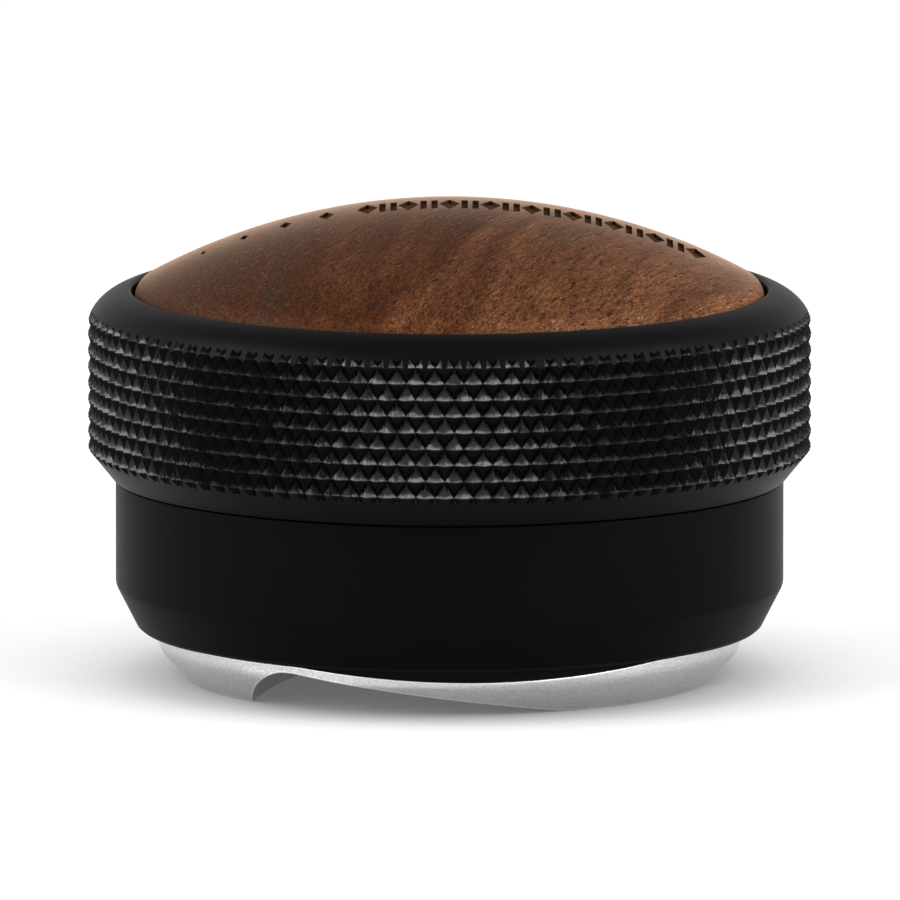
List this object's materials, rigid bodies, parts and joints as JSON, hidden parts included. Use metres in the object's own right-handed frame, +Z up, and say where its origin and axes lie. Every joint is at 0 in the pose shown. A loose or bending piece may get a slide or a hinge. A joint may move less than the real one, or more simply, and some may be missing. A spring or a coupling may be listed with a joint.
{
  "type": "coffee tamper",
  "caption": "Palm-grip coffee tamper: domed wooden top in a knurled cap, plain collar, and a winged steel base whose depth is set by turning the cap.",
  "frame": {"origin": "centre of the turning axis on the plane that the wing tips stand on", "axes": "+Z up along the turning axis, -Y is the front, +X to the right seen from the front"},
  "size_m": [0.0724, 0.0724, 0.0476],
  "materials": {
    "satin_steel": "satin",
    "black_anodised": "matte black anodised",
    "brass": "machined",
    "bronze": "sintered",
    "screw_steel": "oiled",
    "walnut": "oiled satin",
    "seal_rubber": "matte",
    "adhesive_pad": "matte foam"
  },
  "bodies": {
    "base": {"wing_base": "satin_steel", "base_carrier": "black_anodised", "carrier_nut": "brass", "wiper_o_ring": "seal_rubber", "base_screw_1": "screw_steel", "base_screw_2": "screw_steel", "base_screw_3": "screw_steel", "nut_screw_1": "screw_steel", "nut_screw_2": "screw_steel", "nut_screw_3": "screw_steel"},
    "collar": {"depth_collar": "black_anodised", "collar_bush": "bronze", "lower_thrust_washer": "bronze", "friction_o_ring": "seal_rubber", "guide_pin_1": "satin_steel", "guide_pin_2": "satin_steel", "guide_pin_3": "satin_steel"},
    "cap": {"knurled_cap": "black_anodised", "wood_dome": "walnut", "dome_pad": "adhesive_pad", "ballast_disc": "screw_steel", "lead_screw": "satin_steel", "retaining_ring": "screw_steel", "upper_thrust_washer": "bronze", "hub_screw_1": "screw_steel", "hub_screw_2": "screw_steel", "hub_screw_3": "screw_steel"}
  },
  "joints": [
    {"name": "depth_slide", "type": "slide", "parent": "base", "child": "collar", "axis": [0, 0, 1], "range_m": [0, 0.006]},
    {"name": "cap_turn", "type": "hinge", "parent": "collar", "child": "cap", "pos_m": [0, 0, 0.024], "axis": [0, 0, 1], "range_deg": [0, 540]}
  ],
  "couplings": [
    {"joint": "depth_slide", "follows": "cap_turn", "m_per_rad": 0.000636}
  ]
}
